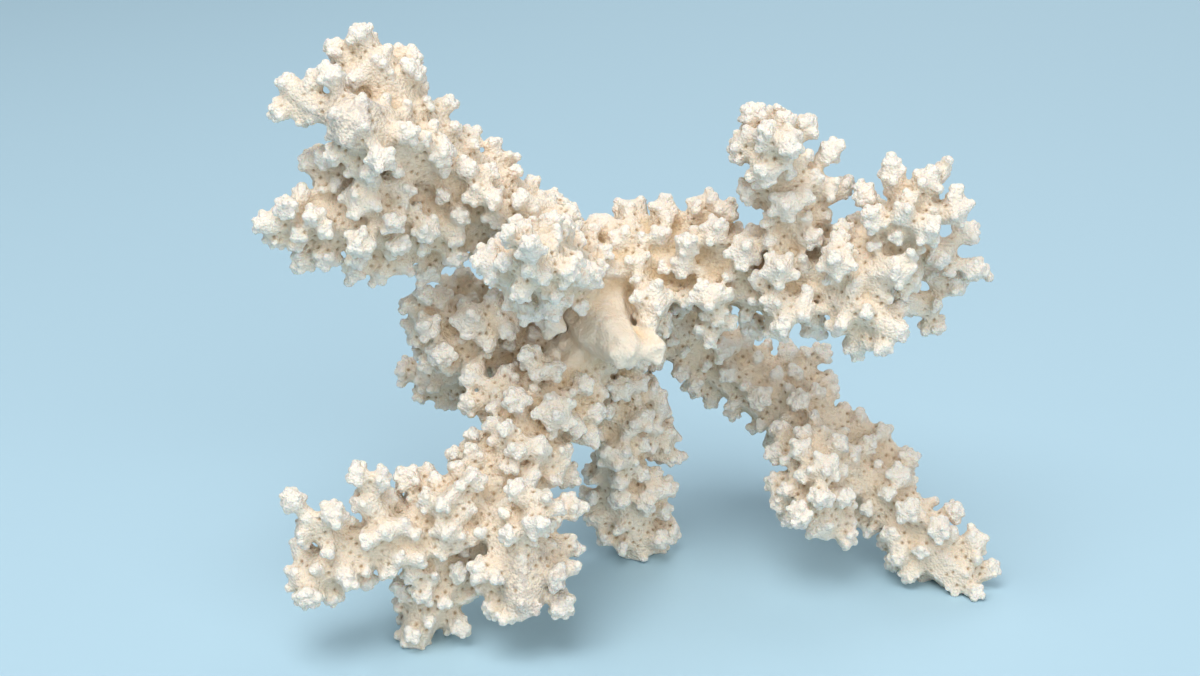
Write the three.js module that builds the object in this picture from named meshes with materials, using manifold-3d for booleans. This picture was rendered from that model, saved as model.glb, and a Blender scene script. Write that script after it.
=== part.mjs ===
// Branching coral: a bleached, knobbly colony with a bare holdfast stub, resting on the tips of its legs.
// Millimetres, +Z up, the viewer on the -Y side. Each branch is parted from its neighbours at a main fork.
import * as THREE from 'three';
import { mergeVertices } from 'three/addons/utils/BufferGeometryUtils.js';
import Module from 'manifold-3d';

const wasm = await Module();
wasm.setup();

// Driving dimensions
const FORK_GAP = 0.3; // clear gap where two branches meet at a fork
const RING_STEP = 12; // spacing of the rings along a branch
const LIMB_SIDES = 6; // facets round a branch
const LIMB_END = 0.7; // length of a branch's rounded end, in radii
const FINGER_SIDES = 5; // facets round a finger
const FINGER_RADIUS = 2; // a common finger, where a list gives no radius of its own
const FINGER_SWELL = 1.2; // a finger's greatest width, in tip radii
const FINGER_BELLY = 0.62; // where a finger is widest, as a share of the length that shows
const FINGER_LEAN = 0.4; // how far a finger slants towards the end of its branch, per mm of reach
const KNOB_SPACING = 4; // distance along a branch from one knob of its hidden side to the next
const KNOB_HEIGHTS = [3.5, 5, 2.5, 4.5, 3]; // how far the knobs of the hidden side stand out, in turn
const KNOB_RADIUS = 2.6; // a knob of the hidden side
const KNOB_SIDES = 4; // facets round a knob
const KNOB_CLEARANCE = 6.5; // knobs keep this far from the tips of fingers
const KNOB_FACING = 0.1; // knobs grow only where the surface turns this much or less to the viewer
const GOLDEN_ANGLE = Math.PI * (3 - Math.sqrt(5));
const SAMPLE_STEP = 1.5; // spacing of the points that stand for a branch's centre line
const FLOOR_CLEARANCE = 1; // knobs stay this far above the floor
const FLOOR_BLOCK = 400; // width of the block that trims the feet flat
const BONE_WHITE = '#efe6d6';
const WARM_CREAM = '#ead9bd';
const CHALKY = 0.85; // roughness of the bare skeleton

const TOWARDS_VIEWER = new THREE.Vector3(0, -0.94, 0.34);
const LATHE_AXIS = new THREE.Vector3(0, 1, 0);

// Branches. A limb is a row of stations [x, y, z, radius], from the fork to the tip.
// A finger is the centre of its round tip, [x, y, z], and a radius where it isn't a common one.
const branches = {
  // The core of the colony, with the bare stub of its holdfast towards the viewer
  trunk: {
    colour: WARM_CREAM,
    limbs: [
      [[6, -22, 65, 3.3], [2, -13, 65, 6], [-1, -4, 68, 8.5], [-1, 3, 73, 10], [0, 6, 79, 8]],
      [[-1, 3, 72, 10], [0, 3, 60, 9], [2, 3, 52, 7]],
    ],
    fingers: [[8, 8, 88, 3.5], [12, -18, 64, 2.5], [0, 2, 86, 2.5], [-5, 2, 85, 2.5], [5, -3, 85, 2.5],
      [3, -6, 79, 2.5], [9, -6, 81, 2.5], [-2, -5, 83, 2.5]],
  },
  // The tall branch at the upper left, with its side arms
  upper_left_branch: {
    colour: BONE_WHITE,
    limbs: [
      [[-7, 0, 79, 6.5], [-20, -6, 92, 7.5], [-31, -11, 101, 7.5], [-39, -15, 112, 7], [-45, -18, 122, 5.5],
        [-48, -20, 130, 3.9]],
      [[-38, -16, 107, 6], [-46, -26, 115, 6], [-52, -33, 120, 5.5]],
      [[-51, -29, 119, 3.2], [-55, -28, 120, 3.1], [-61, -27, 122, 2.4], [-65, -25, 125, 1.9]],
      [[-42, -14, 103, 4.5], [-53, -18, 106, 3.4], [-62, -19, 107, 2.4]],
    ],
    fingers: [[-56, -20, 132, 1.5], [-50, -20, 134], [-40, -15, 129, 1.5], [-39, -18, 125, 1.5],
      [-67, -26, 120, 1.5], [-56, -29, 129, 1.5], [-60, -19, 103, 1.5], [-45, -37, 112], [-42, -25, 103],
      [-23, -5, 102, 4], [-11, -2, 93, 2.5], [-34, -24, 111, 2.5], [-26, -20, 101, 2.5],
      [-22, -19, 96, 2.5]],
  },
  // The lower, level fork of the tall branch
  upper_left_fork: {
    colour: BONE_WHITE,
    limbs: [
      [[-28, -8, 90, 6], [-39, -15, 93, 6.5], [-49, -19, 94, 6], [-60, -21, 94, 4], [-68, -23, 97, 2.4]],
    ],
    fingers: [[-70, -23, 92], [-60, -21, 102, 1.5], [-50, -27, 102, 4], [-39, -12, 79], [-44, -17, 83],
      [-49, -18, 81], [-54, -19, 82], [-65, -21, 85], [-34, -10, 83], [-44, -29, 97], [-51, -30, 92, 2.5],
      [-37, -25, 94], [-61, -29, 98, 1.5], [-64, -27, 94, 1.5], [-43, -26, 91, 1.5], [-32, -18, 91],
      [-66, -29, 100, 1.5]],
  },
  // The short branch that comes straight at the viewer
  front_branch: {
    colour: BONE_WHITE,
    limbs: [[[-7, -8, 78, 7], [-12, -28, 87, 7], [-13, -46, 94, 5]]],
    fingers: [[-16, -16, 97, 3], [-11, -14, 95, 2.5], [-8, -18, 93], [-23, -42, 92, 3], [-21, -26, 83],
      [-14, -57, 100], [-15, -32, 78, 2.5], [-11, -14, 68, 2.5], [-18, -28, 79, 2.5], [-18, -52, 101, 1.5]],
  },
  // The stout branch at the left, forked at its end
  left_branch: {
    colour: BONE_WHITE,
    limbs: [
      [[-13, 2, 61, 7.5], [-26, 0, 60, 7.5], [-36, -4, 63, 6], [-42, -6, 65, 4]],
      [[-29, 0, 58, 5.5], [-38, 4, 50, 5], [-42, 5, 48, 3.1]],
    ],
    fingers: [[-42, -6, 70, 2.5], [-37, -6, 71, 3], [-33, -3, 68, 2.5], [-39, -14, 68], [-29, -12, 69, 3.5],
      [-22, -9, 68, 3.5], [-45, 7, 49, 2.5], [-42, 7, 44], [-37, 6, 43, 2.5], [-33, 3, 47, 2.5],
      [-36, -12, 61, 2.5], [-29, -8, 56, 3], [-35, 5, 71, 2.5], [-30, 6, 70, 2.5]],
  },
  // The front leg, from the core down to where it forks three ways
  front_leg: {
    colour: BONE_WHITE,
    limbs: [
      [[-5, -6, 56, 7.5], [-12, -14, 50, 7.5], [-18, -20, 43, 7.5], [-22, -25, 36, 8.5]],
      [[-15, -14, 50, 5], [-24, -16, 51, 3.5]],
    ],
    fingers: [[-21, -13, 55, 2.5], [-29, -16, 50], [-16, -20, 63], [-11, -20, 60], [-2, -16, 48, 2.5],
      [-10, -26, 52, 3.5], [-2, -17, 42], [-20, -28, 46, 3], [-14, -30, 45, 2.5], [-9, -25, 41, 2.5],
      [-7, -23, 35], [-19, -26, 55]],
  },
  // The front leg's long arm to the left, with two upright twigs
  front_leg_arm: {
    colour: BONE_WHITE,
    limbs: [
      [[-26, -27, 33, 8], [-37, -33, 29, 6.5], [-50, -39, 26, 4.5], [-61, -43, 23, 4.5], [-65, -45, 20, 3.4]],
      [[-56, -42, 25, 2.6], [-58, -43, 28, 2.2], [-63, -45, 36, 1.7]],
      [[-47, -38, 28, 2.9], [-47, -39, 31, 2.7], [-51, -41, 38, 2.2]],
    ],
    fingers: [[-66, -45, 40, 1.5], [-57, -46, 37], [-52, -41, 45, 1.5], [-47, -41, 44, 1.5], [-43, -33, 40],
      [-39, -29, 38], [-29, -23, 42], [-43, -42, 32, 1.5], [-44, -43, 25, 1.5], [-41, -40, 19],
      [-35, -40, 26], [-33, -41, 31, 3], [-28, -39, 28], [-52, -41, 19], [-59, -43, 16], [-63, -49, 19],
      [-32, -40, 38], [-28, -38, 41], [-37, -40, 37]],
  },
  // The front leg's thin foot, on which it stands
  front_leg_foot: {
    colour: BONE_WHITE,
    limbs: [
      [[-28, -30, 23, 6], [-35, -34, 15, 5], [-39, -35, 9, 3.8], [-42, -36, 1, 3.2]],
      [[-25, -38, 25, 2.6], [-30, -41, 20, 2.4], [-32, -41, 16, 2]],
      [[-35, -34, 12, 3.1], [-34, -33, 3, 1.8]],
    ],
    fingers: [[-44, -33, 8, 1.5], [-39, -40, 15]],
  },
  // The front leg's thick stub, which ends above the floor
  front_leg_stub: {
    colour: BONE_WHITE,
    limbs: [[[-20, -33, 31, 7.5], [-18, -39, 25, 6.5], [-16, -43, 17, 5.5], [-17, -45, 14, 4]]],
    fingers: [[-26, -45, 22], [-23, -43, 13], [-8, -43, 13], [-6, -35, 23], [-9, -39, 22], [-5, -30, 31],
      [-13, -47, 35, 2.5], [-12, -44, 39], [-19, -46, 32, 1.5], [-10, -44, 21]],
  },
  // The upright leg under the core
  middle_leg: {
    colour: BONE_WHITE,
    limbs: [[[3, 2, 49, 6.5], [4, 4, 35, 5.5], [5, 6, 21, 5], [8, 7, 9, 6], [10, 8, 2, 4.5]]],
    fingers: [[11, 2, 46, 2.5], [5, -6, 50], [14, 5, 40, 3], [16, 8, 32, 3.5], [10, -4, 41, 2.5],
      [20, 9, 26, 1.5], [4, -4, 32, 3.5], [17, 8, 18], [13, 2, 23], [11, -1, 19], [5, -2, 20], [15, 7, 13],
      [17, 9, 6, 2.5], [2, 5, 7], [-2, 8, 22, 1.5], [-3, 8, 15]],
  },
  // The long leg at the right
  right_leg: {
    colour: BONE_WHITE,
    limbs: [
      [[5, 8, 66, 7], [13, 15, 59, 7], [28, 24, 47, 7], [43, 20, 38, 8], [56, 10, 29, 7.5], [69, 2, 19, 6],
        [80, -6, 8, 6], [87, -10, 3, 5]],
      [[43, 22, 41, 4.5], [51, 22, 44, 3.3]],
    ],
    fingers: [[55, 22, 48, 1.5], [57, 22, 41, 1.5], [56, 15, 40, 1.5], [63, 9, 35], [68, 7, 33],
      [74, 3, 28], [71, -3, 26, 2.5], [85, -5, 18, 1.5], [89, -9, 12, 2.5], [70, -7, 13], [39, 11, 41],
      [73, -9, 20], [80, -13, 17], [30, 14, 52], [48, 8, 41], [59, -2, 31, 2.5]],
  },
  // The right leg's short fork, which ends above the floor
  right_leg_fork: {
    colour: BONE_WHITE,
    limbs: [[[53, 4, 32, 6.5], [51, -4, 26, 7], [51, -8, 20, 6.5], [53, -10, 16, 4]]],
    fingers: [[43, 4, 35], [42, 0, 31], [43, -7, 22], [58, -10, 14], [58, -6, 20], [62, -2, 22, 1.5],
      [52, -12, 32, 3], [46, -16, 22], [47, -8, 35], [51, -16, 27]],
  },
  // The long branch at the right, which opens into a hand of fingers
  right_branch: {
    colour: BONE_WHITE,
    limbs: [
      [[6, 2, 76, 7.5], [21, 0, 78, 8], [35, -6, 77, 7.5], [50, -12, 79, 7], [62, -15, 87, 6],
        [68, -17, 95, 5]],
      [[62, -15, 86, 4], [65, -14, 85, 3.6], [77, -12, 85, 2.8]],
      [[54, -15, 81, 3.6], [56, -18, 82, 3.3], [65, -26, 85, 3.1]],
      [[52, -12, 78, 4.5], [56, -12, 76, 4], [68, -8, 72, 3.2], [76, -6, 70, 2.4]],
      [[50, -14, 79, 4], [52, -18, 78, 3.6], [58, -24, 74, 3.1], [65, -26, 71, 2]],
    ],
    fingers: [[15, 3, 91, 2.5], [24, 2, 92, 2.5], [29, -1, 92], [26, -11, 90, 2.5], [20, -12, 87],
      [32, -15, 86, 3], [12, -12, 73, 4], [14, -7, 66, 2.5], [9, -5, 68, 2.5], [24, -15, 75, 3],
      [26, -12, 70, 2.5], [25, -9, 64, 2.5], [39, -22, 84, 3], [39, -20, 76, 2.5], [44, -21, 74, 2.5],
      [41, -8, 65, 2.5], [36, -4, 63, 1.5], [49, -11, 66], [53, -22, 71], [51, -25, 87, 3],
      [57, -14, 100, 1.5], [63, -17, 106], [75, -17, 107, 1.5], [71, -19, 104, 2.5], [78, -19, 97, 2.5],
      [82, -10, 89], [70, -28, 95, 2.5], [86, -12, 80, 1.5], [82, -8, 77], [76, -6, 66], [62, -26, 68, 1.5],
      [57, -20, 64], [65, -27, 98], [58, -25, 97]],
  },
  // The upright branch on the right one
  upright_branch: {
    colour: BONE_WHITE,
    limbs: [[[43, -8, 83, 6.5], [43, -10, 93, 5.5], [40, -12, 102, 5.5], [37, -14, 110, 5.5]]],
    fingers: [[33, -14, 116], [31, -18, 110, 2.5], [45, -12, 113], [52, -11, 109, 1.5], [55, -9, 100, 1.5],
      [50, -13, 100], [33, -12, 99], [35, -23, 107, 3], [40, -20, 98, 2.5], [31, -12, 107, 1.5],
      [40, -23, 113, 2.5], [35, -26, 115, 2.5]],
  },
};

// A closed geometry as a solid that can be joined and cut
function toSolid(geometry) {
  geometry.deleteAttribute('normal');
  geometry.deleteAttribute('uv');
  const merged = mergeVertices(geometry);
  const corners = merged.index.array;
  const triangles = [];
  for (let i = 0; i < corners.length; i += 3) {
    const [a, b, c] = corners.slice(i, i + 3);
    if (a !== b && b !== c && c !== a) triangles.push(a, b, c);
  }
  const mesh = new wasm.Mesh({
    numProp: 3,
    vertProperties: new Float32Array(merged.attributes.position.array),
    triVerts: new Uint32Array(triangles),
  });
  return new wasm.Manifold(mesh);
}

// The centre line of a limb, its number of ring steps, and its radius at any share of its length
function centreLine(stations) {
  const curve = new THREE.CatmullRomCurve3(stations.map(([x, y, z]) => new THREE.Vector3(x, y, z)));
  const steps = Math.max(2, Math.round(curve.getLength() / RING_STEP));
  const radiusAt = (share) => {
    const place = curve.getUtoTmapping(share) * (stations.length - 1);
    const i = Math.min(Math.floor(place), stations.length - 2);
    return THREE.MathUtils.lerp(stations[i][3], stations[i + 1][3], place - i);
  };
  return { curve, steps, radiusAt };
}

// A limb's body: a lathed club with round ends, bent along its centre line
function limbSolid(stations, grow) {
  const { curve, steps, radiusAt } = centreLine(stations);
  const { tangents, normals, binormals } = curve.computeFrenetFrames(steps);
  const profile = [new THREE.Vector2(0, -1)];
  for (let ring = 0; ring <= steps; ring++) {
    profile.push(new THREE.Vector2(radiusAt(ring / steps) + grow, ring));
  }
  profile.push(new THREE.Vector2(0, steps + 1));
  const club = new THREE.LatheGeometry(profile, LIMB_SIDES);
  const { position } = club.attributes;
  const corner = new THREE.Vector3();
  for (let i = 0; i < position.count; i++) {
    corner.fromBufferAttribute(position, i);
    const ring = THREE.MathUtils.clamp(Math.round(corner.y), 0, steps);
    const beyond = (corner.y - ring) * LIMB_END * (radiusAt(ring / steps) + grow);
    const bent = curve.getPointAt(ring / steps)
      .addScaledVector(normals[ring], corner.x)
      .addScaledVector(binormals[ring], -corner.z)
      .addScaledVector(tangents[ring], beyond);
    position.setXYZ(i, bent.x, bent.y, bent.z);
  }
  return toSolid(club);
}

// A finger or knob: a lathed bud that widens from its root on a centre line to its blunt tip
function fingerSolid({ root, tip, radius, sides, buried }, grow) {
  const axis = tip.clone().sub(root);
  const length = axis.length() + radius + grow;
  const belly = THREE.MathUtils.lerp(buried, length, FINGER_BELLY);
  const profile = [
    new THREE.Vector2(0, 0),
    new THREE.Vector2(radius * FINGER_SWELL + grow, belly),
    new THREE.Vector2(0, length),
  ];
  const bud = new THREE.LatheGeometry(profile, sides);
  bud.applyQuaternion(new THREE.Quaternion().setFromUnitVectors(LATHE_AXIS, axis.normalize()));
  bud.translate(root.x, root.y, root.z);
  return toSolid(bud);
}

// Points along every limb of a branch: place, radius, and the share of the limb's length
function samplesOf({ limbs }) {
  return limbs.flatMap((stations) => {
    const { curve, radiusAt } = centreLine(stations);
    const count = Math.ceil(curve.getLength() / SAMPLE_STEP);
    return Array.from({ length: count + 1 }, (_, i) => ({
      point: curve.getPointAt(i / count),
      radius: radiusAt(i / count),
      share: i / count,
      curve,
    }));
  });
}

// A finger grows from the nearest limb of its branch, a little further back than its tip
function rootedFinger([x, y, z, radius = FINGER_RADIUS], samples) {
  const tip = new THREE.Vector3(x, y, z);
  const depth = (sample) => tip.distanceTo(sample.point) - sample.radius;
  const nearest = samples.reduce((best, sample) => (depth(sample) < depth(best) ? sample : best));
  const setBack = FINGER_LEAN * tip.distanceTo(nearest.point) / nearest.curve.getLength();
  const root = nearest.curve.getPointAt(Math.max(0, nearest.share - setBack));
  const buried = tip.distanceTo(root) * nearest.radius / tip.distanceTo(nearest.point);
  return { root, tip, radius, sides: FINGER_SIDES, buried };
}

// Knobs wind round each limb by the golden angle, on the side that faces away from the viewer
function hiddenKnobs({ limbs }, fingerTips, allSamples) {
  return limbs.flatMap((stations) => {
    const { curve, radiusAt } = centreLine(stations);
    const count = Math.floor(curve.getLength() / KNOB_SPACING);
    const { tangents, normals } = curve.computeFrenetFrames(count);
    const knobs = [];
    for (let i = 1; i <= count; i++) {
      const outward = normals[i].clone().applyAxisAngle(tangents[i], i * GOLDEN_ANGLE);
      const root = curve.getPointAt(i / count);
      const buried = radiusAt(i / count);
      const reach = buried + KNOB_HEIGHTS[i % KNOB_HEIGHTS.length] - KNOB_RADIUS;
      const lean = FINGER_LEAN * reach;
      const tip = root.clone().addScaledVector(outward, reach).addScaledVector(tangents[i], lean);
      const hidden = outward.dot(TOWARDS_VIEWER) < KNOB_FACING;
      const clear = fingerTips.every((other) => other.distanceTo(tip) > KNOB_CLEARANCE);
      const sunk = KNOB_RADIUS / 2;
      const outside = allSamples.every(({ point, radius }) => point.distanceTo(tip) > radius - sunk);
      const aboveFloor = tip.z > KNOB_RADIUS + FLOOR_CLEARANCE;
      if (hidden && clear && outside && aboveFloor) {
        knobs.push({ root, tip, radius: KNOB_RADIUS, sides: KNOB_SIDES, buried });
      }
    }
    return knobs;
  });
}

// A whole branch before it is parted from its neighbours, grown outwards by a margin
function branchSolid({ limbs, buds }, grow) {
  const bodies = limbs.map((stations) => limbSolid(stations, grow));
  const outgrowths = buds.map((bud) => fingerSolid(bud, grow));
  return [...bodies, ...outgrowths].reduce((whole, piece) => whole.add(piece));
}

// The largest body of a solid, without chips that a cut has left loose
function largestBody(solid) {
  return solid.decompose().reduce((best, body) => (body.volume() > best.volume() ? body : best));
}

// A named mesh of a finished branch, in a matt material of its own
function toMesh(name, solid, colour) {
  const { vertProperties, triVerts } = solid.getMesh();
  const geometry = new THREE.BufferGeometry();
  geometry.setAttribute('position', new THREE.BufferAttribute(vertProperties, 3));
  geometry.setIndex(new THREE.BufferAttribute(triVerts, 1));
  geometry.computeVertexNormals();
  const material = new THREE.MeshStandardMaterial({ color: colour, roughness: CHALKY, metalness: 0 });
  const mesh = new THREE.Mesh(geometry, material);
  mesh.name = name;
  return mesh;
}

// Fingers and knobs of every branch
const allSamples = Object.values(branches).flatMap(samplesOf);
for (const branch of Object.values(branches)) {
  const samples = samplesOf(branch);
  branch.buds = branch.fingers.map((finger) => rootedFinger(finger, samples));
}
const fingerTips = Object.values(branches).flatMap(({ buds }) => buds.map(({ tip }) => tip));
for (const branch of Object.values(branches)) {
  branch.buds.push(...hiddenKnobs(branch, fingerTips, allSamples));
}

// Each branch is cut back from those before it, and the feet are worn flat where they stand
const floorBlock = new THREE.BoxGeometry(FLOOR_BLOCK, FLOOR_BLOCK, FLOOR_BLOCK);
floorBlock.translate(0, 0, -FLOOR_BLOCK / 2);
let taken = toSolid(floorBlock);
const coral = new THREE.Group();
for (const [name, branch] of Object.entries(branches)) {
  const solid = largestBody(branchSolid(branch, 0).subtract(taken));
  taken = taken.add(branchSolid(branch, FORK_GAP));
  coral.add(toMesh(name, solid, branch.colour));
}

// The origin is on the floor, under the middle of the whole colony
const middle = new THREE.Box3().setFromObject(coral).getCenter(new THREE.Vector3());
coral.position.set(-middle.x, -middle.y, 0);

export default coral;
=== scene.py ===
# %% [markdown]
# A bleached branching coral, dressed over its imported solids.
# The solids give every branch, fork and large finger its place and size. What they lack is the skin: the
# small lobes at the finger ends, the cups the animals lived in, and the chalky colour. Those are made here.

# %% Load the solids
import bpy
import math
import numpy as np
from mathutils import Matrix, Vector


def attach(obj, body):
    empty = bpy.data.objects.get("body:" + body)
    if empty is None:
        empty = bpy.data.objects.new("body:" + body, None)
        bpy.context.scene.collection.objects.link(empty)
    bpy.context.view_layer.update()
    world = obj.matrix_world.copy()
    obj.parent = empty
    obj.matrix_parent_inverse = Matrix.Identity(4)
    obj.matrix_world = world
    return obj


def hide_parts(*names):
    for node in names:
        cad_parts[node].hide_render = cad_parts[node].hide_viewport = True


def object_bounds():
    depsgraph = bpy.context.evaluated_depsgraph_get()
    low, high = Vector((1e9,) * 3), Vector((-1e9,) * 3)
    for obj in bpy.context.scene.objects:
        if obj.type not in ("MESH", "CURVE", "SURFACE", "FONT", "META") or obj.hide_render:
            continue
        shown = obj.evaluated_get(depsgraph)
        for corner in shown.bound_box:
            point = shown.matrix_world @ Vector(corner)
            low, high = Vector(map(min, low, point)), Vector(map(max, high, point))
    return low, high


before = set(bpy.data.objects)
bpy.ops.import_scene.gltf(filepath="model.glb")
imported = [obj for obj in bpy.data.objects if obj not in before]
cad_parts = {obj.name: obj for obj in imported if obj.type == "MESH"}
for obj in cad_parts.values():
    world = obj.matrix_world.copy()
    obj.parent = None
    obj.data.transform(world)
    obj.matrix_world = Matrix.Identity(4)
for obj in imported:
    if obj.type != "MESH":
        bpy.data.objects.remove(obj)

MM = 0.001
solid_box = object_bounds()
solid_sides = [round(side / MM, 1) for side in solid_box[1] - solid_box[0]]
branch_names = sorted(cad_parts)
print("solids:", len(branch_names), "box:", solid_sides, "mm")

# %% [markdown]
# The camera stands in front of the coral and a little above it, and looks down by twenty degrees.
# It could be aimed with a constraint, but a plain place and angle are easier to read and to repeat.

# %% Camera
CAMERA_PLACE = (-9.7 * MM, -391.3 * MM, 207.1 * MM)
CAMERA_TILT = math.radians(70)
CAMERA_LENS = 55.4
CAMERA_NEAR = 10 * MM

bpy.ops.object.select_all(action="DESELECT")
bpy.ops.object.camera_add(location=CAMERA_PLACE, rotation=(CAMERA_TILT, 0, 0))
camera = bpy.context.object
camera.data.lens = CAMERA_LENS
camera.data.clip_start = CAMERA_NEAR
bpy.context.scene.camera = camera
print("camera at", [round(value, 3) for value in camera.location])

# %% [markdown]
# Nodes carry both the growth of the skin and its colour. Wiring them by hand in code gets long, so one
# small class holds a socket and turns ordinary arithmetic into Math nodes. Every other node comes from its
# one method, and a few functions name the nodes that are needed most.


# %% A socket that can be calculated with
class Wire:
    """One output socket of a node tree. Arithmetic on it adds Math nodes to that tree."""

    def __init__(self, socket):
        self.socket = socket
        self.tree = socket.id_data

    @staticmethod
    def node(tree, kind, settings=None, inputs=None, output=0):
        """Adds a node, sets its settings and then its sockets, and returns one of its outputs."""
        made = tree.nodes.new(kind)
        for name, value in (settings or {}).items():
            setattr(made, name, value)
        for name, value in (inputs or {}).items():
            if isinstance(value, Wire):
                tree.links.new(value.socket, made.inputs[name])
            else:
                made.inputs[name].default_value = value
        return Wire(made.outputs[output]) if made.outputs else made

    def output(self, name):
        """Another output of the node that this socket belongs to."""
        return Wire(self.socket.node.outputs[name])

    def math(self, operation, first, second):
        """A Math node in this socket's tree."""
        return Wire.node(self.tree, "ShaderNodeMath", {"operation": operation}, {0: first, 1: second})

    def __add__(self, other):
        return self.math("ADD", self, other)

    def __radd__(self, other):
        return self.math("ADD", other, self)

    def __sub__(self, other):
        return self.math("SUBTRACT", self, other)

    def __rsub__(self, other):
        return self.math("SUBTRACT", other, self)

    def __mul__(self, other):
        return self.math("MULTIPLY", self, other)

    def __rmul__(self, other):
        return self.math("MULTIPLY", other, self)

    def __lt__(self, other):
        return self.math("LESS_THAN", self, other)

    def __gt__(self, other):
        return self.math("GREATER_THAN", self, other)


def vector_sum(operation, first, second, output=0):
    """Vector arithmetic; output 1 is the plain number of a length, distance or dot product."""
    settings = {"operation": operation}
    return Wire.node(first.tree, "ShaderNodeVectorMath", settings, {0: first, 1: second}, output)


def scaled(vector, amount):
    """A vector times a number."""
    settings = {"operation": "SCALE"}
    return Wire.node(vector.tree, "ShaderNodeVectorMath", settings, {0: vector, "Scale": amount})


def ramp(value, low, high, start=0.0, end=1.0):
    """Runs smoothly from start, where value is at low or below, to end, where it is at high or above."""
    settings = {"interpolation_type": "SMOOTHSTEP"}
    limits = {"From Min": low, "From Max": high, "To Min": start, "To Max": end}
    return Wire.node(value.tree, "ShaderNodeMapRange", settings, {"Value": value, **limits})


def noise(place, size, detail):
    """Soft noise between 0 and 1, with spots of about that size."""
    inputs = {"Vector": place, "Scale": 1 / size, "Detail": detail}
    return Wire.node(place.tree, "ShaderNodeTexNoise", {}, inputs)


print("nodes are ready")

# %% [markdown]
# The coral grew as one skeleton, while its solids are parted at the forks by hairline gaps. Sculpting every
# branch again would lose their measured places. So copies of the solids are swollen until the gaps close,
# which also makes up for the loss in smoothing. Then they are joined and remeshed into one skin of even
# small faces, and the skin is smoothed until the facets are gone.

# %% One skin from all the solids
GAP_CLOSING = 0.7 * MM
WELD_DISTANCE = 0.01 * MM
FIRST_GRAIN = 0.8 * MM
FIRST_ROUNDING = 5
ROUNDING_FACTOR = 0.5


def apply_modifier(piece, kind, **settings):
    """Adds a modifier to the piece with these settings and applies it."""
    modifier = piece.modifiers.new(kind.lower(), kind)
    for name, value in settings.items():
        setattr(modifier, name, value)
    bpy.context.view_layer.objects.active = piece
    bpy.ops.object.modifier_apply(modifier=modifier.name)


def select_only(*pieces):
    """Selects these pieces and nothing else; the first one is active."""
    bpy.ops.object.select_all(action="DESELECT")
    for piece in pieces:
        piece.select_set(True)
    bpy.context.view_layer.objects.active = pieces[0]


def copy_of_solid(number, name):
    """A copy of one solid, whose faces carry the number of their branch."""
    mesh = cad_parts[name].data.copy()
    mesh.materials.clear()
    label = mesh.attributes.new("branch", "INT", "FACE")
    label.data.foreach_set("value", [number] * len(mesh.polygons))
    copy = bpy.data.objects.new(name + "_copy", mesh)
    bpy.context.collection.objects.link(copy)
    return copy


def fuse(piece, grain, rounding):
    """Melts overlapping shapes into one skin with faces of that size, and rounds it."""
    apply_modifier(piece, "REMESH", mode="VOXEL", voxel_size=grain)
    apply_modifier(piece, "SMOOTH", factor=ROUNDING_FACTOR, iterations=rounding)


def keep_largest_part(piece):
    """Removes the crumbs that a fused skin can leave inside itself."""
    select_only(piece)
    bpy.ops.object.mode_set(mode="EDIT")
    bpy.ops.mesh.select_all(action="SELECT")
    bpy.ops.mesh.separate(type="LOOSE")
    bpy.ops.object.mode_set(mode="OBJECT")
    parts = sorted(bpy.context.selected_objects, key=lambda part: len(part.data.polygons))
    for crumb in parts[:-1]:
        bpy.data.objects.remove(crumb)
    return parts[-1]


copies = [copy_of_solid(number, name) for number, name in enumerate(branch_names)]
select_only(*copies)
bpy.ops.object.join()
pattern = bpy.context.object
pattern.name = "pattern"
bpy.ops.object.mode_set(mode="EDIT")
bpy.ops.mesh.select_all(action="SELECT")
bpy.ops.mesh.remove_doubles(threshold=WELD_DISTANCE)
bpy.ops.object.mode_set(mode="OBJECT")
bpy.ops.object.duplicate()
coral = bpy.context.object
apply_modifier(coral, "DISPLACE", strength=GAP_CLOSING, mid_level=0.0)
fuse(coral, FIRST_GRAIN, FIRST_ROUNDING)
coral = keep_largest_part(coral)
coral.name = "coral"
print("one skin:", len(coral.data.polygons), "faces")

# %% [markdown]
# The skin of the real branches is never even: fingers end blunt, stubs bristle between them and lobes crowd
# on their ends. Only the worn holdfast is bare, and two broad rough heads carry no stubs. Most of that
# depends on one question, how far a point stands out from its surroundings. It could be painted by hand, but
# a blur answers it: the place of a point is compared with the average place around it.

# %% Where the skin stands out and where it is bare
BARE_MIDDLES = [
    (-3.7 * MM, -9.2 * MM, 65 * MM),
    (-10.7 * MM, 6 * MM, 70 * MM),
    (-15 * MM, 2 * MM, 66 * MM),
]
BARE_RADIUS = 9.0 * MM
HEAD_MIDDLES = [
    (-61.7 * MM, -20.2 * MM, 120 * MM),
    (-24.5 * MM, -33 * MM, 20 * MM),
]
HEAD_RADIUS = 8.0 * MM
SOFT_EDGE = 0.2


def new_growth(name):
    """An empty tree of geometry nodes and the skin that comes into it."""
    tree = bpy.data.node_groups.new(name, "GeometryNodeTree")
    tree.interface.new_socket("Geometry", in_out="INPUT", socket_type="NodeSocketGeometry")
    tree.interface.new_socket("Geometry", in_out="OUTPUT", socket_type="NodeSocketGeometry")
    return tree, Wire.node(tree, "NodeGroupInput")


def finish_growth(piece, tree, result):
    """Runs the tree on the piece and keeps what it makes."""
    Wire.node(tree, "NodeGroupOutput", {}, {0: result})
    apply_modifier(piece, "NODES", node_group=tree)


def store(skin, name, value, kind="FLOAT", domain="POINT"):
    """Keeps a value on the skin under a name."""
    settings = {"data_type": kind, "domain": domain}
    inputs = {"Geometry": skin, "Name": name, "Value": value}
    return Wire.node(skin.tree, "GeometryNodeStoreNamedAttribute", settings, inputs)


def stored(tree, name, kind="FLOAT"):
    """A value that was kept on the skin."""
    return Wire.node(tree, "GeometryNodeInputNamedAttribute", {"data_type": kind}, {"Name": name})


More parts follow.
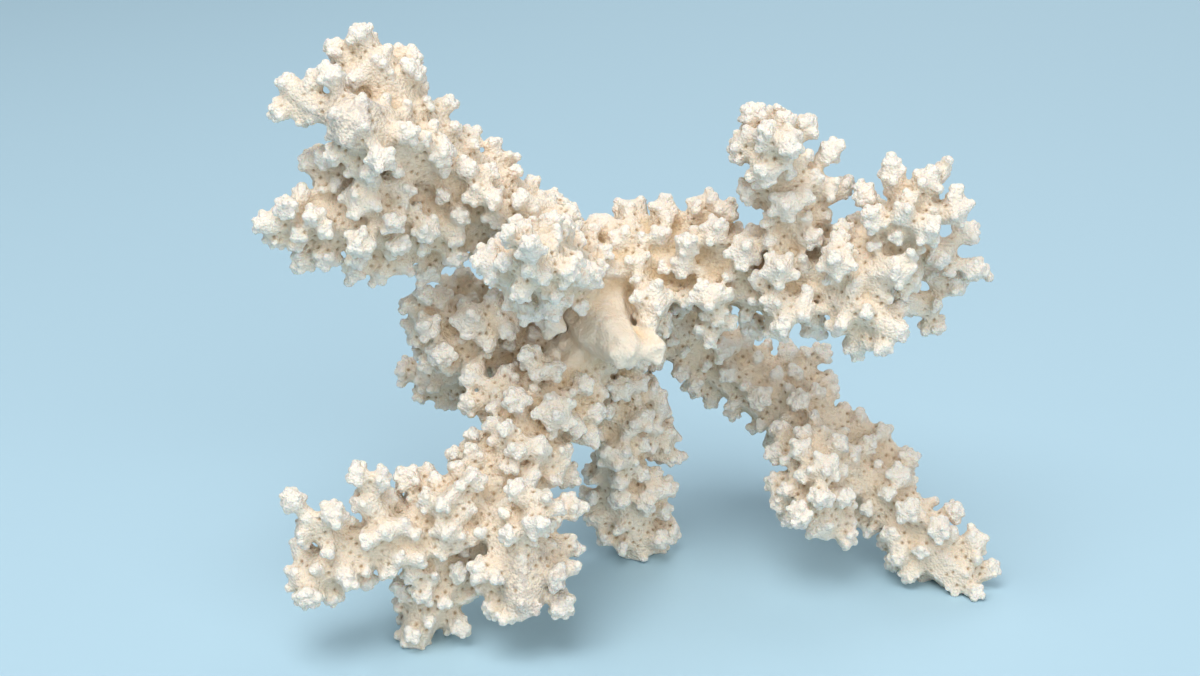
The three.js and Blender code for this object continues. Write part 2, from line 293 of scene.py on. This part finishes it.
def blurred(vector, steps):
    """The average of a vector over the surroundings of a point, which widen with the steps."""
    settings = {"data_type": "FLOAT_VECTOR"}
    inputs = {"Value": vector, "Iterations": steps}
    return Wire.node(vector.tree, "GeometryNodeBlurAttribute", settings, inputs)


def standing_out(tree, steps):
    """How far a point stands out from the average of its surroundings, in metres."""
    place = Wire.node(tree, "GeometryNodeInputPosition")
    normal = Wire.node(tree, "GeometryNodeInputNormal")
    rise = vector_sum("SUBTRACT", place, blurred(place, steps))
    return vector_sum("DOT_PRODUCT", rise, normal, 1)


def nearness(tree, middles, radius):
    """One within the radius of one of the middles, and nothing away from them."""
    place = Wire.node(tree, "GeometryNodeInputPosition")
    nearest = vector_sum("DISTANCE", place, middles[0], 1)
    for middle in middles[1:]:
        nearest = nearest.math("MINIMUM", nearest, vector_sum("DISTANCE", place, middle, 1))
    return ramp(nearest, (1 - SOFT_EDGE) * radius, (1 + SOFT_EDGE) * radius, 1.0, 0.0)


print("bare within", BARE_RADIUS / MM, "mm of the holdfast")

# %% [markdown]
# A coral finger grows at its tip and ends blunt and thick, while smoothing has left the tips thin. They
# could be sculpted one by one. Here the points that stand out most move outwards along their normals
# instead, which treats every finger alike.

# %% Blunt finger ends
FINGER_STEPS = 12
FINGER_LIMITS = (0.2 * MM, 0.9 * MM)
FINGER_SWELL = 1.0 * MM


def swell(piece, steps, limits, amount):
    """Thickens the skin where it stands out from its surroundings."""
    tree, skin = new_growth("swelling")
    normal = Wire.node(tree, "GeometryNodeInputNormal")
    shift = scaled(normal, ramp(standing_out(tree, steps), *limits, 0.0, amount))
    skin = Wire.node(tree, "GeometryNodeSetPosition", {}, {"Geometry": skin, "Offset": shift})
    finish_growth(piece, tree, skin)


swell(coral, FINGER_STEPS, FINGER_LIMITS, FINGER_SWELL)
print("finger ends are thicker by up to", FINGER_SWELL / MM, "mm")

# %% [markdown]
# Between the large fingers the real branches bristle with shorter stubs. Placing hundreds by hand is not
# practical, so one stub is modelled and scattered over the skin, standing on it and leaning a little at
# random, where the skin is not already the top of a finger. Then stubs and skin are melted into one.

# %% Stubs between the fingers
STUB_SIDES = 7
STUB_RADIUS = 2.1 * MM
STUB_ROOT = 2.0 * MM
STUB_RISE = 2.1 * MM
STUB_BELLY_AT = 0.4
STUB_BELLY = 1.2
STUB_SHOULDER = 0.8
STUB_TOP_RISE = 0.6
STUB_TOP = 0.6
STUB_STEPS = 14
STUB_LIMITS = (-5 * MM, 0.45 * MM)
STUB_SPACING = 5.2 * MM
STUB_SIZES = (0.6, 1.2)
STUB_LEAN = math.radians(20)
STUB_SEED = 11
CANDIDATES_PER_SPACING = 12.0
SECOND_GRAIN = 0.65 * MM
SECOND_ROUNDING = 2


def points_on(skin, chosen, spacing, seed):
    """Points on the chosen skin, none closer to another than the spacing."""
    settings = {"distribute_method": "POISSON"}
    density = CANDIDATES_PER_SPACING / spacing ** 2
    limits = {"Distance Min": spacing, "Density Max": density, "Seed": seed}
    inputs = {"Mesh": skin, "Selection": chosen, **limits}
    return Wire.node(skin.tree, "GeometryNodeDistributePointsOnFaces", settings, inputs)


def random_number(tree, low, high, seed):
    """A different number for every point."""
    inputs = {2: low, 3: high, "Seed": seed}
    return Wire.node(tree, "FunctionNodeRandomValue", {"data_type": "FLOAT"}, inputs, 1)


def random_turn(tree, lean, seed):
    """A different turn for every point: any way round, and up to the lean to the sides."""
    inputs = {0: (-lean, -lean, 0.0), 1: (lean, lean, math.tau), "Seed": seed}
    angles = Wire.node(tree, "FunctionNodeRandomValue", {"data_type": "FLOAT_VECTOR"}, inputs)
    return Wire.node(tree, "FunctionNodeEulerToRotation", {}, {0: angles})


def scatter(piece, shape, free, steps, limits, spacing, sizes, lean, seed):
    """Grows copies of a shape where the skin stands out within the limits, but not at the free places."""
    tree, skin = new_growth(shape.name + "_growth")
    skin = store(skin, "crown", standing_out(tree, steps))
    crown = stored(tree, "crown")
    chosen = (crown > limits[0]) * (crown < limits[1])
    for middles, radius in free:
        chosen = chosen * (nearness(tree, middles, radius) < 0.5)
    points = points_on(skin, chosen, spacing, seed)
    upright = points.output("Rotation")
    aim = Wire.node(tree, "FunctionNodeRotateRotation", {"rotation_space": "LOCAL"},
                    {"Rotation": upright, "Rotate By": random_turn(tree, lean, seed + 1)})
    form = Wire.node(tree, "GeometryNodeObjectInfo", {}, {"Object": shape}).output("Geometry")
    size = random_number(tree, *sizes, seed + 2)
    grown = Wire.node(tree, "GeometryNodeInstanceOnPoints", {},
                      {"Points": points, "Instance": form, "Rotation": aim, "Scale": size})
    grown = Wire.node(tree, "GeometryNodeRealizeInstances", {}, {"Geometry": grown})
    both = Wire.node(tree, "GeometryNodeJoinGeometry", {}, {0: skin})
    tree.links.new(grown.socket, both.socket.node.inputs[0])
    before = len(piece.data.polygons)
    finish_growth(piece, tree, both)
    return (len(piece.data.polygons) - before) // len(shape.data.polygons)


def extrude_ring(rise, widen):
    """Pulls the selected face up by a rise and scales it about its own middle."""
    bpy.ops.mesh.extrude_region_move(TRANSFORM_OT_translate={"value": (0, 0, rise)})
    bpy.ops.transform.resize(value=(widen, widen, 1))


bpy.ops.object.select_all(action="DESELECT")
bpy.ops.mesh.primitive_circle_add(vertices=STUB_SIDES, radius=STUB_RADIUS, fill_type="NGON",
                                  location=(0, 0, -STUB_ROOT))
stub = bpy.context.object
stub.name = "stub"
bpy.ops.object.transform_apply(location=True)
bpy.ops.object.mode_set(mode="EDIT")
bpy.ops.mesh.select_all(action="SELECT")
extrude_ring(STUB_ROOT + STUB_BELLY_AT * STUB_RISE, STUB_BELLY)
extrude_ring(STUB_RISE, STUB_SHOULDER)
extrude_ring(STUB_TOP_RISE * STUB_RISE, STUB_TOP)
bpy.ops.mesh.select_all(action="SELECT")
bpy.ops.mesh.normals_make_consistent(inside=False)
bpy.ops.object.mode_set(mode="OBJECT")

holdfast = (BARE_MIDDLES, BARE_RADIUS)
heads = (HEAD_MIDDLES, HEAD_RADIUS)
count = scatter(coral, stub, [holdfast, heads], STUB_STEPS, STUB_LIMITS,
                STUB_SPACING, STUB_SIZES, STUB_LEAN, STUB_SEED)
fuse(coral, SECOND_GRAIN, SECOND_ROUNDING)
print("stubs:", count, "skin:", len(coral.data.polygons), "faces")

# %% [markdown]
# Each growing end of the real coral is a small cauliflower of round lobes, about two millimetres wide. A
# bumpy texture would not change the outline, so small balls are set into the skin by the same scatter, now
# where it does stand out. Melting shrinks them, so they are swollen a little afterwards.

# %% Lobes on the finger ends
LOBE_RADIUS = 1.1 * MM
LOBE_SINK = 0.4 * MM
LOBE_STEPS = 14
LOBE_LIMITS = (0.4 * MM, 9 * MM)
LOBE_SPACING = 1.8 * MM
LOBE_SIZES = (0.7, 1.2)
LOBE_LEAN = 0.0
LOBE_SEED = 31
LOBE_SWELL_STEPS = 6
LOBE_SWELL_LIMITS = (0.03 * MM, 0.3 * MM)
LOBE_SWELL = 0.3 * MM
THIRD_GRAIN = 0.45 * MM
THIRD_ROUNDING = 2

bpy.ops.object.select_all(action="DESELECT")
bpy.ops.mesh.primitive_ico_sphere_add(subdivisions=2, radius=LOBE_RADIUS, location=(0, 0, -LOBE_SINK))
lobe = bpy.context.object
lobe.name = "lobe"
bpy.ops.object.transform_apply(location=True)

count = scatter(coral, lobe, [holdfast], LOBE_STEPS, LOBE_LIMITS,
                LOBE_SPACING, LOBE_SIZES, LOBE_LEAN, LOBE_SEED)
fuse(coral, THIRD_GRAIN, THIRD_ROUNDING)
coral = keep_largest_part(coral)
swell(coral, LOBE_SWELL_STEPS, LOBE_SWELL_LIMITS, LOBE_SWELL)
print("lobes:", count, "skin:", len(coral.data.polygons), "faces")

# %% [markdown]
# The animals sat in small round cups, about a millimetre wide, set close together on the flanks and rare on
# the white growing ends. A texture alone would look painted on, so each cup is pressed into the skin: points
# are spread over the flanks, moved onto the nearest corner of the mesh, and the skin sinks around them. The
# distance to the nearest cup stays on the skin for its colour. The rest of the skin gets the fine grain of
# the skeleton, and the worn holdfast gets soft lumps.

# %% Cups and grain
CUP_SPACING = 1.8 * MM
CUP_RADIUS = 0.75 * MM
CUP_DEPTH = 0.55 * MM
CUP_LIP = (0.4, 1.4)
CUP_PATCH = 4.0 * MM
CUP_PATCH_LIMITS = (0.38, 0.56)
CUP_STEPS = 80
CUP_CEILING = 0.35 * MM
CUP_SEED = 51
GRAIN_SIZE = 1.15 * MM
GRAIN_HEIGHT = 0.32 * MM
GRAIN_LEVEL = 0.45
GRAIN_SOFTNESS = 0.4
HOLDFAST_CALM = 0.4
HOLDFAST_LUMP = 6.0 * MM
HOLDFAST_RELIEF = 2.5 * MM

tree, skin = new_growth("cups")
skin = store(skin, "crown", standing_out(tree, CUP_STEPS))
skin = store(skin, "bare", nearness(tree, BARE_MIDDLES, BARE_RADIUS))
skin = store(skin, "head", nearness(tree, HEAD_MIDDLES, HEAD_RADIUS))
bare = stored(tree, "bare")
place = Wire.node(tree, "GeometryNodeInputPosition")
normal = Wire.node(tree, "GeometryNodeInputNormal")

flank = (stored(tree, "crown") < CUP_CEILING) * (bare < 0.5)
spots = points_on(skin, flank, CUP_SPACING, CUP_SEED)
corner = Wire.node(tree, "GeometryNodeSampleNearest", {"domain": "POINT"}, {"Geometry": skin})
corner_place = Wire.node(tree, "GeometryNodeSampleIndex", {"data_type": "FLOAT_VECTOR", "domain": "POINT"},
                         {"Geometry": skin, "Value": place, "Index": corner})
spots = Wire.node(tree, "GeometryNodeSetPosition", {}, {"Geometry": spots, "Position": corner_place})
from_cup = Wire.node(tree, "GeometryNodeProximity", {"target_element": "POINTS"}, {"Geometry": spots}, 1)
skin = store(skin, "cup", from_cup)
skin = store(skin, "cup_size", ramp(noise(place, CUP_PATCH, 2.0), *CUP_PATCH_LIMITS))
cup = stored(tree, "cup")
sunk = ramp(cup, 0.0, CUP_RADIUS, CUP_DEPTH, 0.0) * stored(tree, "cup_size")

cells = Wire.node(tree, "ShaderNodeTexVoronoi", {"feature": "SMOOTH_F1"},
                  {"Vector": place, "Scale": 1 / GRAIN_SIZE, "Smoothness": GRAIN_SOFTNESS})
between_cups = ramp(cup, CUP_LIP[0] * CUP_RADIUS, CUP_LIP[1] * CUP_RADIUS)
grain = (GRAIN_LEVEL - cells) * GRAIN_HEIGHT * (1 - HOLDFAST_CALM * bare) * between_cups
lumps = (noise(place, HOLDFAST_LUMP, 1.0) - 0.5) * HOLDFAST_RELIEF * bare
shift = scaled(normal, grain - sunk + lumps)
skin = Wire.node(tree, "GeometryNodeSetPosition", {}, {"Geometry": skin, "Offset": shift})
finish_growth(coral, tree, skin)
print("skin with cups:", len(coral.data.polygons), "faces")

# %% [markdown]
# The tips that carry the coral are worn flat on the real one, so whatever hangs below the floor is pushed up
# to it. The skin then has its final shape, and the values that later steps need are kept on it: how far each
# point stands out, for the colour; the way it faces and the way into the limb, for the cut ends; and the
# branch whose solid is nearest. That one is looked up from blurred places, which lie deep in the limb, so the
# knobs don't fray the border between two branches.

# %% Worn feet and kept values
FLOOR_LEVEL = (-1.0, -1.0, 0.0)
CROWN_STEPS = 100
INWARD_STEPS = 120
BRANCH_STEPS = 100

tree, skin = new_growth("feet")
place = Wire.node(tree, "GeometryNodeInputPosition")
on_floor = vector_sum("MAXIMUM", place, FLOOR_LEVEL)
skin = Wire.node(tree, "GeometryNodeSetPosition", {}, {"Geometry": skin, "Position": on_floor})
skin = store(skin, "crown", standing_out(tree, CROWN_STEPS))
normal = Wire.node(tree, "GeometryNodeInputNormal")
skin = store(skin, "outward", normal, "FLOAT_VECTOR")
into_limb = scaled(blurred(normal, INWARD_STEPS), -1.0)
into_limb = Wire.node(tree, "ShaderNodeVectorMath", {"operation": "NORMALIZE"}, {0: into_limb})
skin = store(skin, "inward", into_limb, "FLOAT_VECTOR")
solids = Wire.node(tree, "GeometryNodeObjectInfo", {}, {"Object": pattern}).output("Geometry")
label = stored(tree, "branch", "INT")
nearest = Wire.node(tree, "GeometryNodeSampleNearestSurface", {"data_type": "INT"},
                    {"Mesh": solids, "Value": label, "Sample Position": blurred(place, BRANCH_STEPS)})
skin = store(skin, "branch", nearest, "INT", "FACE")
finish_growth(coral, tree, skin)
print("lowest point:", round(min(vertex.co.z for vertex in coral.data.vertices) / MM, 2), "mm")

# %% [markdown]
# The part is kept branch by branch, as its solids are, so the finished skin is parted along the forks again.
# Each face goes to its branch. The cut ends are turned into the limb, where the next branch covers them, and
# closed. The corners of the skin keep the direction that they had on the whole skin, so the light shows no
# seam.

# %% Part the skin at the forks
CUT_END_SINK = 2.5 * MM

coral.data.materials.clear()
for name in branch_names:
    coral.data.materials.append(bpy.data.materials.new(name))
labels = [0] * len(coral.data.polygons)
coral.data.attributes["branch"].data.foreach_get("value", labels)
coral.data.polygons.foreach_set("material_index", labels)
select_only(coral)
bpy.ops.object.mode_set(mode="EDIT")
bpy.ops.mesh.select_all(action="SELECT")
bpy.ops.mesh.separate(type="MATERIAL")
bpy.ops.object.mode_set(mode="OBJECT")
parted = list(bpy.context.selected_objects)


def close_cut_ends(piece):
    """Turns the open ends of a branch into the limb, closes them and keeps the shading of the whole skin."""
    skin_faces = len(piece.data.polygons)
    tree, skin = new_growth("cut_ends")
    inward = stored(tree, "inward", "FLOAT_VECTOR")
    open_edge = Wire.node(tree, "GeometryNodeInputMeshEdgeNeighbors") < 2
    inputs = {"Mesh": skin, "Selection": open_edge, "Offset": inward, "Offset Scale": CUT_END_SINK}
    skin = Wire.node(tree, "GeometryNodeExtrudeMesh", {"mode": "EDGES"}, inputs)
    finish_growth(piece, tree, skin)
    select_only(piece)
    bpy.ops.object.mode_set(mode="EDIT")
    bpy.ops.mesh.select_all(action="SELECT")
    bpy.ops.mesh.fill_holes(sides=0)
    bpy.ops.mesh.select_all(action="DESELECT")
    bpy.ops.mesh.select_face_by_sides(number=4, type="GREATER")
    bpy.ops.mesh.poke(center_mode="MEDIAN")
    bpy.ops.object.mode_set(mode="OBJECT")
    mesh = piece.data
    mesh.polygons.foreach_set("use_smooth", np.arange(len(mesh.polygons)) < skin_faces)
    outward = np.zeros(3 * len(mesh.vertices), np.float32)
    mesh.attributes["outward"].data.foreach_get("vector", outward)
    corners = np.zeros(len(mesh.loops), np.int32)
    mesh.loops.foreach_get("vertex_index", corners)
    normals = outward.reshape(-1, 3)[corners]
    normals[mesh.polygons[skin_faces].loop_start:] = 0
    mesh.normals_split_custom_set(normals)


branches = {}
for piece in parted:
    name = piece.data.materials[0].name
    piece.name = name + "_skin"
    close_cut_ends(piece)
    branches[name] = piece
print({name: len(piece.data.polygons) for name, piece in branches.items()})

# %% [markdown]
# The skeleton is chalky lime: ivory on the flanks, grey on the two broad heads. The growing ends are whiter,
# partly in their own colour and partly as a painted highlight where the skin stands out. The hollows get
# painted shade in tan, stronger near the core, and the cups a brown tint deepened with painted shade.
# Separate materials would leave borders, so one material follows the values kept on the skin, with soft noise
# over it so that no two fingers are alike, and a very fine bump for the powdery surface. A little light
# passes through the chalk.

# %% Chalky skeleton
IVORY = (0.84, 0.71, 0.56, 1)
# whiter growing ends: partly their own chalk white, partly a painted highlight where the skin stands out
CHALK_WHITE_AND_HIGHLIGHT = (0.90, 0.82, 0.72, 1)
WHITE_AND_HIGHLIGHT_LIMITS = (0.0, 1.3 * MM)
WHITE_AND_HIGHLIGHT_WANDER = 0.5 * MM
PATCH_SIZE = 8.33 * MM
BARE_DULLING = 0.7
# painted shade: the hollows turn a warm tan, more near the core, as if light passed through the chalk
HOLLOW_SHADE_TAN = (0.71, 0.53, 0.32, 1)
HOLLOW_LIMITS = (-1.3 * MM, 0.1 * MM)
HOLLOW_SHADE_AMOUNT = 0.25
CORE_SHADE_AMOUNT = 0.5
CORE_PLACE = (-9.0 * MM, 12.0 * MM, 75 * MM)
CORE_REACH = (18 * MM, 60 * MM)
HEAD_GREY = (0.52, 0.44, 0.38, 1)
HEAD_TINT = 0.6
FIBRE_SIZE = 1.2 * MM
FIBRE_LIMITS = (0.42, 0.62)
# brown tint of the cups, deepened with painted shade down in them
CUP_BROWN_AND_SHADE = (0.44, 0.29, 0.16, 1)
CUP_SHADE_TINT = 0.9
CUP_SHADE_LIMITS = (0.1 * MM, 0.7 * MM)
POWDER_SIZE = 0.5 * MM
BEAD_SIZE = 0.7 * MM
BEAD_HEIGHT = 0.4 * MM
BARE_SMOOTHNESS = 0.5


def mix_colour(factor, first, second):
    """The first colour where the factor is nothing, the second where it is one."""
    inputs = {0: factor, 6: first, 7: second}
    return Wire.node(factor.tree, "ShaderNodeMix", {"data_type": "RGBA"}, inputs, 2)


def kept(tree, name):
    """A value that was kept on the skin, read by its colour."""
    return Wire.node(tree, "ShaderNodeAttribute", {"attribute_name": name}, {}, 2)


chalk = bpy.data.materials.new("chalky_skeleton")
chalk.use_nodes = True
tree = chalk.node_tree
shader = tree.nodes["Principled BSDF"]
place = Wire.node(tree, "ShaderNodeTexCoord").output("Object")
crown = kept(tree, "crown")
bare = kept(tree, "bare")

wander = (noise(place, PATCH_SIZE, 3.0) - 0.5) * WHITE_AND_HIGHLIGHT_WANDER
# painted highlight: where the skin stands out it turns chalk white, on top of the whiter colour of the
# growing ends
white_and_highlight = ramp(crown + wander, *WHITE_AND_HIGHLIGHT_LIMITS) * (1 - BARE_DULLING * bare)
colour = mix_colour(white_and_highlight, IVORY, CHALK_WHITE_AND_HIGHLIGHT)
# painted shade in the hollows, stronger near the core
near_core = ramp(vector_sum("DISTANCE", place, CORE_PLACE, 1), *CORE_REACH, 1.0, 0.0)
hollow_shade = ramp(crown, *HOLLOW_LIMITS, 1.0, 0.0) * (HOLLOW_SHADE_AMOUNT + CORE_SHADE_AMOUNT * near_core)
colour = mix_colour(hollow_shade, colour, HOLLOW_SHADE_TAN)
fibres = ramp(noise(place, FIBRE_SIZE, 2.0), *FIBRE_LIMITS, 0.0, HEAD_TINT)
colour = mix_colour(kept(tree, "head") * fibres, colour, HEAD_GREY)
# painted shade down in the cups, together with their brown tint
pit_brown_and_shade = ramp(kept(tree, "cup"), *CUP_SHADE_LIMITS, CUP_SHADE_TINT, 0.0) * kept(tree, "cup_size") * (1 - bare)
colour = mix_colour(pit_brown_and_shade, colour, CUP_BROWN_AND_SHADE)
tree.links.new(colour.socket, shader.inputs["Base Color"])

beads = Wire.node(tree, "ShaderNodeTexVoronoi", {}, {"Vector": place, "Scale": 1 / BEAD_SIZE})
height = (noise(place, POWDER_SIZE, 3.0) - beads) * (1 - BARE_SMOOTHNESS * bare)
bump = Wire.node(tree, "ShaderNodeBump", {}, {"Strength": 1.0, "Distance": BEAD_HEIGHT, "Height": height})
tree.links.new(bump.socket, shader.inputs["Normal"])
shader.inputs["Roughness"].default_value = 0.9
shader.inputs["Specular IOR Level"].default_value = 0.25
shader.inputs["Subsurface Weight"].default_value = 0.3
shader.inputs["Subsurface Radius"].default_value = (1.0, 0.65, 0.4)
shader.inputs["Subsurface Scale"].default_value = 1.5 * MM

for name, piece in branches.items():
    piece.data.materials.clear()
    piece.data.materials.append(chalk)
    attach(piece, "root")
    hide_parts(name)
for helper in (pattern, stub, lobe):
    bpy.data.objects.remove(helper)
print("finished branches:", len(branches))

# %% [markdown]
# The coral stands on a plain pale floor. A large soft light above the viewer's left shoulder models the
# fingers, a weaker one fills in from the right, and a third one behind lifts the edges off the floor. The
# world gives the rest, so that the shadows stay soft and bluish.

# %% Floor and light
FLOOR_COLOUR = (0.42, 0.60, 0.70, 1)
FLOOR_ROUGHNESS = 0.8
FLOOR_SIZE = 8.0
WORLD_COLOUR = (0.72, 0.82, 0.90, 1)
WORLD_STRENGTH = 0.3
LIGHT_SIZE = 1.2
KEY_PLACE = (-0.35, -0.7, 1.6)
KEY_POWER = 26.5
FILL_PLACE = (0.6, -1.4, 0.7)
FILL_POWER = 12.5
BACK_PLACE = (0.5, 1.4, 1.2)
BACK_POWER = 10.0
LIT_POINT = (0, 0, 60 * MM)

bpy.ops.object.select_all(action="DESELECT")
bpy.ops.mesh.primitive_plane_add(size=FLOOR_SIZE)
floor = bpy.context.object
floor.name = "floor"
paint = bpy.data.materials.new("pale_floor")
paint.use_nodes = True
paint.node_tree.nodes["Principled BSDF"].inputs["Base Color"].default_value = FLOOR_COLOUR
paint.node_tree.nodes["Principled BSDF"].inputs["Roughness"].default_value = FLOOR_ROUGHNESS
floor.data.materials.append(paint)


def soft_light(name, place, power):
    """A square light that shines from a place towards the coral."""
    bpy.ops.object.light_add(type="AREA", location=place)
    light = bpy.context.object
    light.name = name
    light.data.size = LIGHT_SIZE
    light.data.energy = power
    towards = Vector(LIT_POINT) - Vector(place)
    light.rotation_euler = towards.to_track_quat("-Z", "Y").to_euler()


soft_light("key_light", KEY_PLACE, KEY_POWER)
soft_light("fill_light", FILL_PLACE, FILL_POWER)
soft_light("back_light", BACK_PLACE, BACK_POWER)
world = bpy.data.worlds.new("studio")
world.use_nodes = True
world.node_tree.nodes["Background"].inputs["Color"].default_value = WORLD_COLOUR
world.node_tree.nodes["Background"].inputs["Strength"].default_value = WORLD_STRENGTH
bpy.context.scene.world = world
bpy.context.scene.view_settings.view_transform = "Standard"
print("floor and lights are set")
